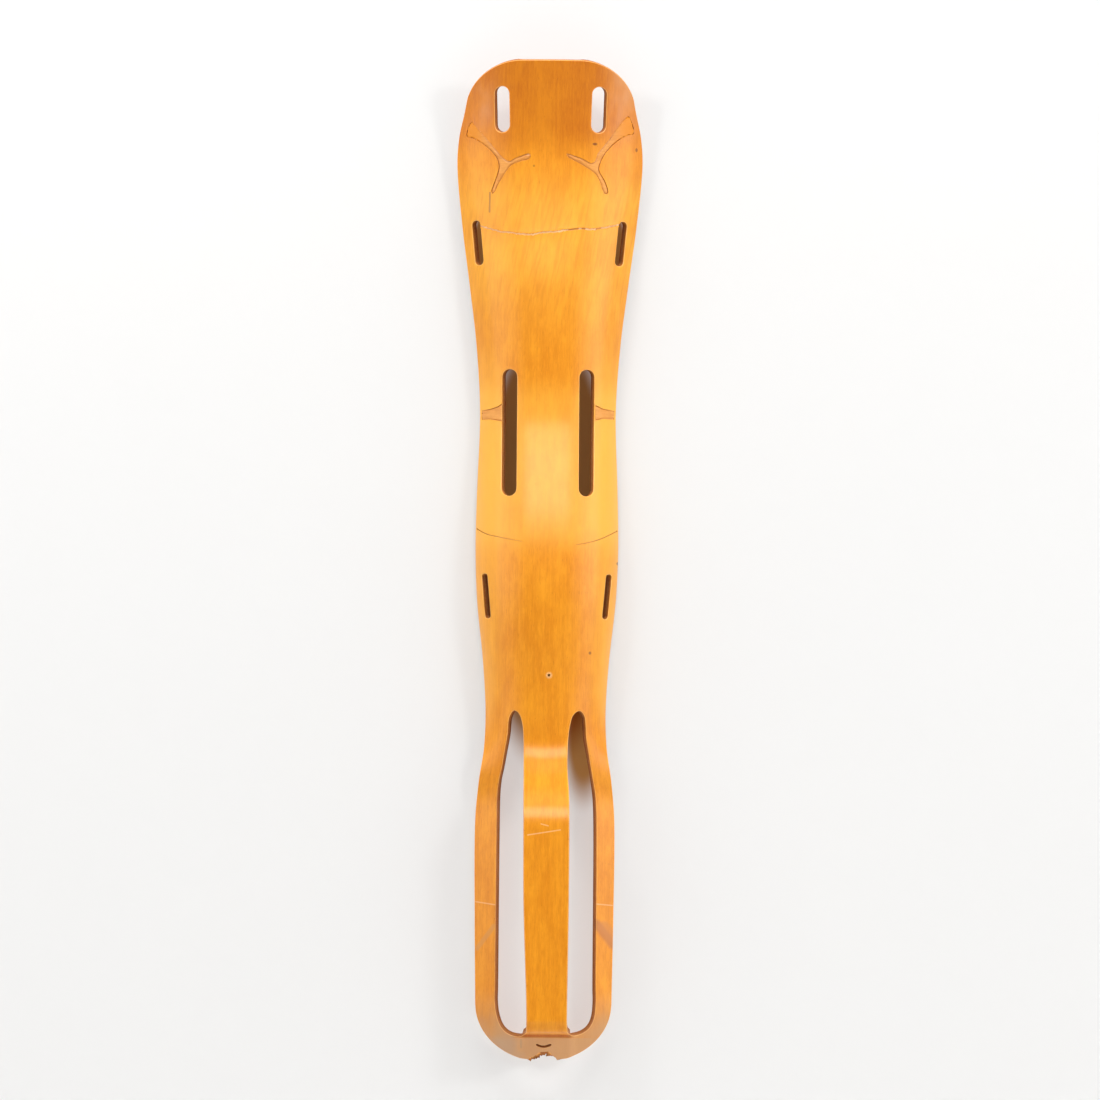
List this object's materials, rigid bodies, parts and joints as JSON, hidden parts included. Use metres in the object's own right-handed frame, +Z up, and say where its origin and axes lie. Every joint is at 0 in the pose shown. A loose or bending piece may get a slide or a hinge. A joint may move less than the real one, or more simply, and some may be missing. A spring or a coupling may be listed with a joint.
{
  "type": "moulded plywood leg splint",
  "caption": "Long moulded plywood leg splint, a trough with strap slots and face veneer darts, and a raised heel strip between two rails.",
  "frame": {"origin": "on the wall plane, midway between the upper ends of the two thigh end slots, where the splint hangs", "axes": "+Z up along the splint to its thigh end, +X to the right seen from the front, +Y into the wall"},
  "size_m": [0.199, 0.1044, 1.0659],
  "materials": {
    "outer_face_veneer": "golden birch veneer, varnished, semi-gloss, vertical grain",
    "outer_crossband_veneer": "reddish veneer laid across the splint, bare where the darts show it",
    "core_veneer": "pale veneer along the splint, seen only at the cut edges",
    "inner_crossband_veneer": "reddish veneer laid across the splint, seen only at the cut edges",
    "inner_face_veneer": "golden birch veneer, varnished, semi-gloss, vertical grain"
  },
  "bodies": {
    "root": {"outer_face_veneer": "outer_face_veneer", "outer_crossband_veneer": "outer_crossband_veneer", "core_veneer": "core_veneer", "inner_crossband_veneer": "inner_crossband_veneer", "inner_face_veneer": "inner_face_veneer"}
  },
  "joints": []
}
